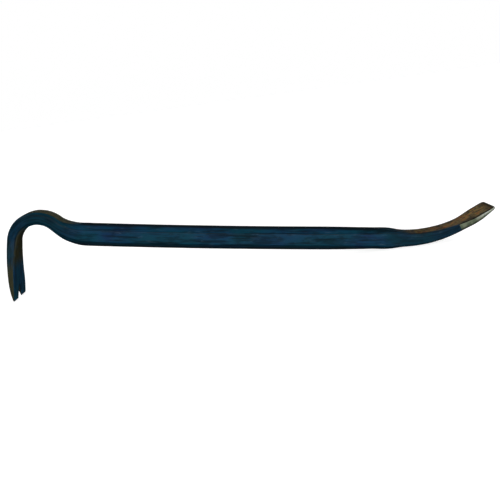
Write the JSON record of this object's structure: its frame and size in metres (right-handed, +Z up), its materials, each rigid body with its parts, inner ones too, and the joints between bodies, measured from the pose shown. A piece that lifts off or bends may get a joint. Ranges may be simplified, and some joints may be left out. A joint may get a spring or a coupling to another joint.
{
  "type": "pry bar",
  "caption": "Forged hexagonal pry bar with a gooseneck claw split by a nail slot at one end and an upswept flat chisel blade at the other.",
  "frame": {"origin": "on the floor, below the middle of the bar's bounding box", "axes": "+X from the claw to the blade, +Y across the bar, +Z up; the bar stands on its two claw tips and its heel, so the shank slopes down towards +X by 8.6 degrees"},
  "size_m": [0.4606, 0.037, 0.0802],
  "materials": {
    "paint": "dark blue-green enamel, semi-gloss, worn thin on the crest and the hexagon's corners, with the hollow face of the blade left as brown forged steel and the last 36 mm of its sides ground bright"
  },
  "bodies": {
    "root": {"forged_bar": "paint"}
  },
  "joints": []
}
